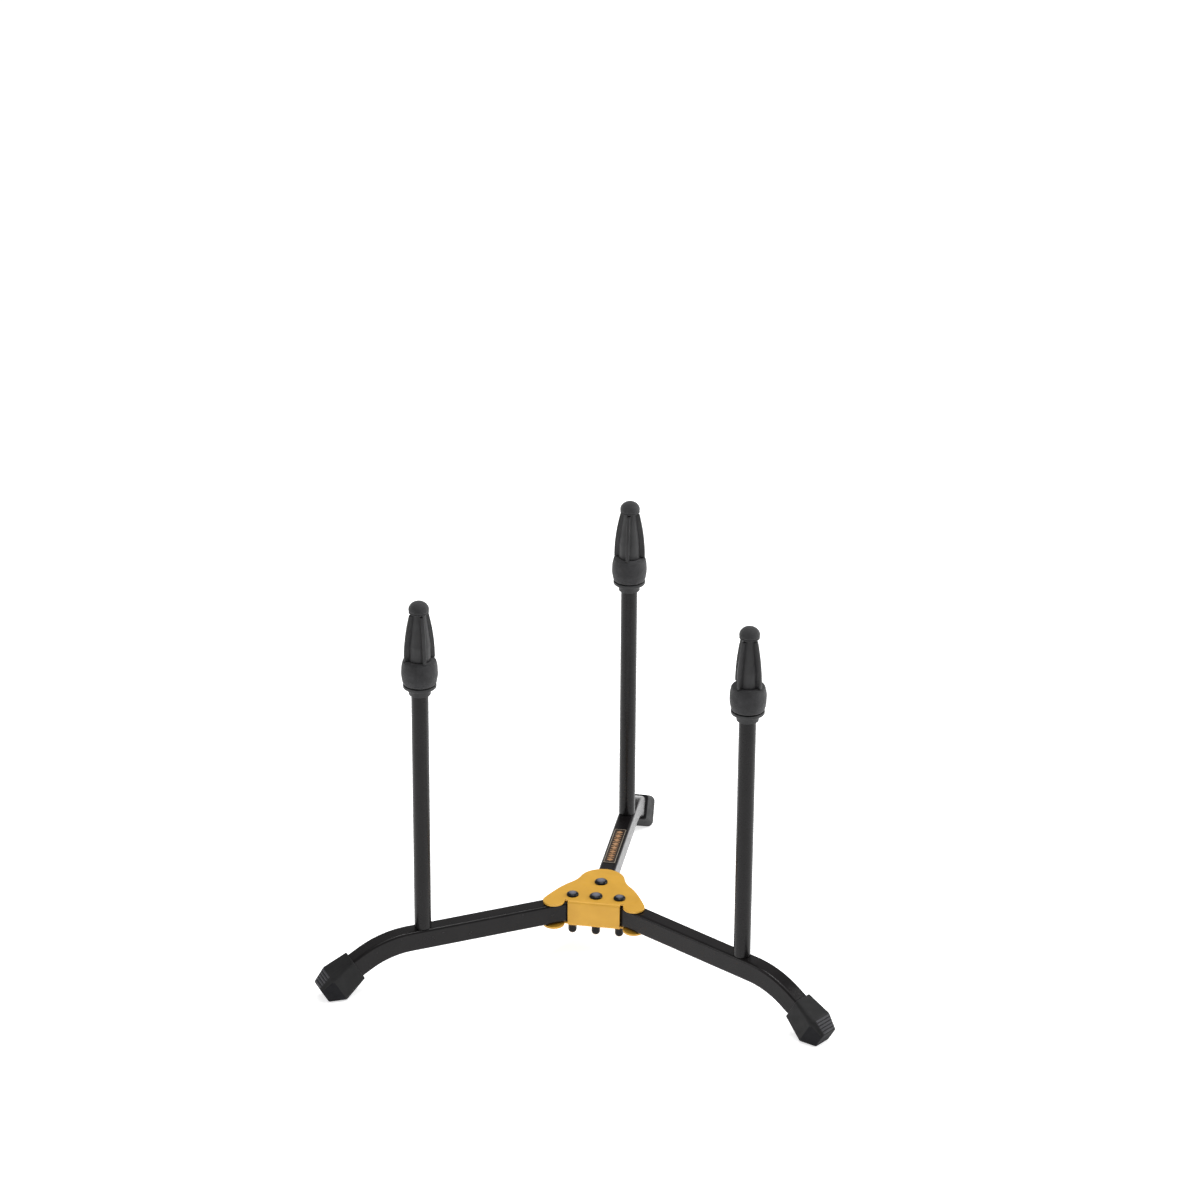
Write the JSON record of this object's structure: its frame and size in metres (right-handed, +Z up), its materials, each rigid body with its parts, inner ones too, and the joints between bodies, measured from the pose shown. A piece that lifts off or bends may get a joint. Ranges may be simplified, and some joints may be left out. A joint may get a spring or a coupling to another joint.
{
  "type": "trumpet stand",
  "caption": "Folding floor stand for three brass instruments: sheet-metal hub, bent tube legs with rubber boots, and screw-in posts with padded bell pegs.",
  "frame": {"origin": "middle of the stand's footprint on the floor, at floor level", "axes": "+Z up, +X to the right along the hub's front wall, +Y towards the fixed rear leg"},
  "size_m": [0.4776, 0.4224, 0.3808],
  "materials": {
    "hub_sheet": "satin golden-yellow powder coat on bent sheet steel",
    "powder_coat": "satin black powder coat on steel tube",
    "post_coat": "smooth satin black coat on round steel tube",
    "boot_rubber": "matt black moulded rubber",
    "black_steel": "semi-gloss black oxide",
    "zinc_steel": "bright zinc plate",
    "nylon": "natural nylon",
    "moulded_plastic": "fine-textured black moulding",
    "foam": "dense black foam with a short-pile cover",
    "label_plate": "dark strip with a bronze geometric border pattern"
  },
  "bodies": {
    "base": {"centre_bolt": "black_steel", "centre_nut": "black_steel", "centre_sleeve": "zinc_steel", "foot_boot_rear": "boot_rubber", "hub_bracket": "hub_sheet", "leg_label": "label_plate", "leg_tube_rear": "powder_coat", "pivot_bolt_left": "black_steel", "pivot_bolt_right": "black_steel", "pivot_nut_left": "black_steel", "pivot_nut_right": "black_steel", "post_insert_rear": "zinc_steel", "rear_bolt": "black_steel", "rear_nut": "black_steel", "rear_sleeve": "zinc_steel", "pivot_washer_lower_left": "nylon", "pivot_washer_lower_right": "nylon", "pivot_washer_upper_left": "nylon", "pivot_washer_upper_right": "nylon"},
    "leg_left": {"foot_boot_left": "boot_rubber", "leg_tube_left": "powder_coat", "pivot_sleeve_left": "zinc_steel", "post_insert_left": "zinc_steel"},
    "leg_right": {"foot_boot_right": "boot_rubber", "leg_tube_right": "powder_coat", "pivot_sleeve_right": "zinc_steel", "post_insert_right": "zinc_steel"},
    "post_left": {"peg_core_left": "moulded_plastic", "peg_pad_left": "foam", "peg_tip_left": "foam", "post_stud_left": "zinc_steel", "post_tube_left": "post_coat"},
    "post_right": {"peg_core_right": "moulded_plastic", "peg_pad_right": "foam", "peg_tip_right": "foam", "post_stud_right": "zinc_steel", "post_tube_right": "post_coat"},
    "post_rear": {"peg_core_rear": "moulded_plastic", "peg_pad_rear": "foam", "peg_tip_rear": "foam", "post_stud_rear": "zinc_steel", "post_tube_rear": "post_coat"}
  },
  "joints": [
    {"name": "leg_left_fold", "type": "hinge", "parent": "base", "child": "leg_left", "pos_m": [-0.022, -0.06968, 0.05478], "axis": [0, 0, 1], "range_deg": [-120.4, 0]},
    {"name": "leg_right_fold", "type": "hinge", "parent": "base", "child": "leg_right", "pos_m": [0.022, -0.06968, 0.05478], "axis": [0, 0, 1], "range_deg": [0, 120.4]},
    {"name": "post_left_unscrew", "type": "slide", "parent": "leg_left", "child": "post_left", "axis": [0, 0, 1], "range_m": [0, 0.03]},
    {"name": "post_right_unscrew", "type": "slide", "parent": "leg_right", "child": "post_right", "axis": [0, 0, 1], "range_m": [0, 0.03]},
    {"name": "post_rear_unscrew", "type": "slide", "parent": "base", "child": "post_rear", "axis": [0, 0, 1], "range_m": [0, 0.03]}
  ]
}
